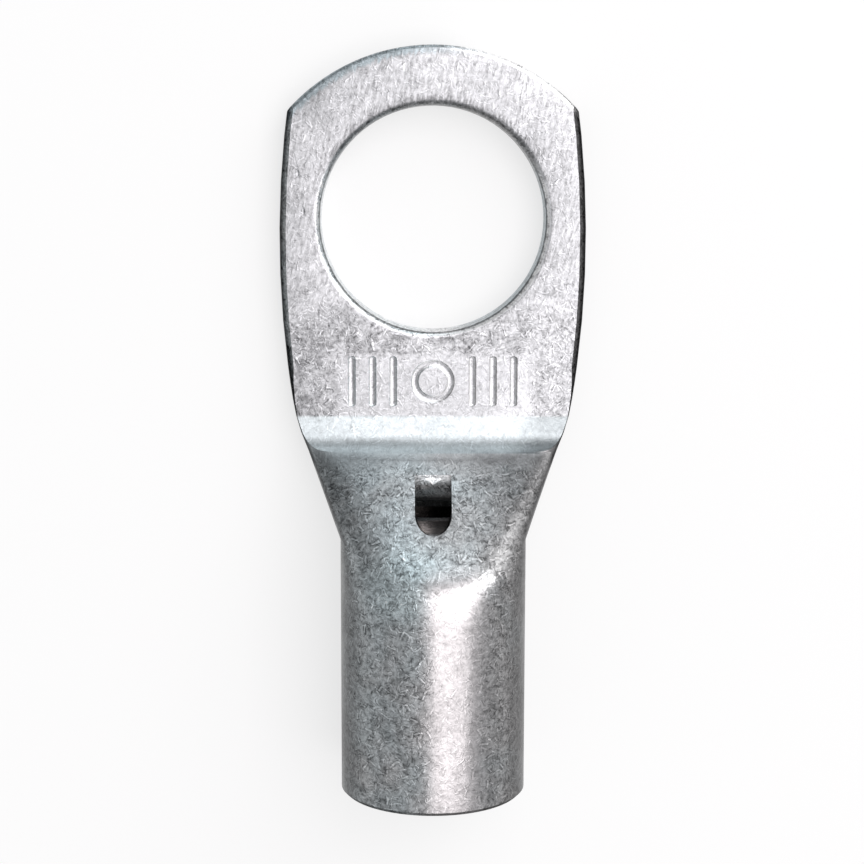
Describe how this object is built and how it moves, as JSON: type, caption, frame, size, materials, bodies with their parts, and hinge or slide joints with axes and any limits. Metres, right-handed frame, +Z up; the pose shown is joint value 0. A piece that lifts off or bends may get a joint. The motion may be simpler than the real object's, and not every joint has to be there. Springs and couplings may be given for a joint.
{
  "type": "compression lug",
  "caption": "Straight tubular compression lug of tinned copper: round barrel for the cable, pressed to a flat palm with a stud hole and a sight hole in the slope between them.",
  "frame": {"origin": "on the stud hole's axis, in the plane of the palm's underside", "axes": "+Z up through the stud hole, away from the palm's underside; +Y towards the rounded end of the palm, so that -Y points out of the barrel's mouth"},
  "size_m": [0.0178, 0.0427, 0.0106],
  "materials": {
    "tinned_copper": "matte tin plating with a fine whisker-like grain"
  },
  "bodies": {
    "root": {"lug": "tinned_copper"}
  },
  "joints": []
}
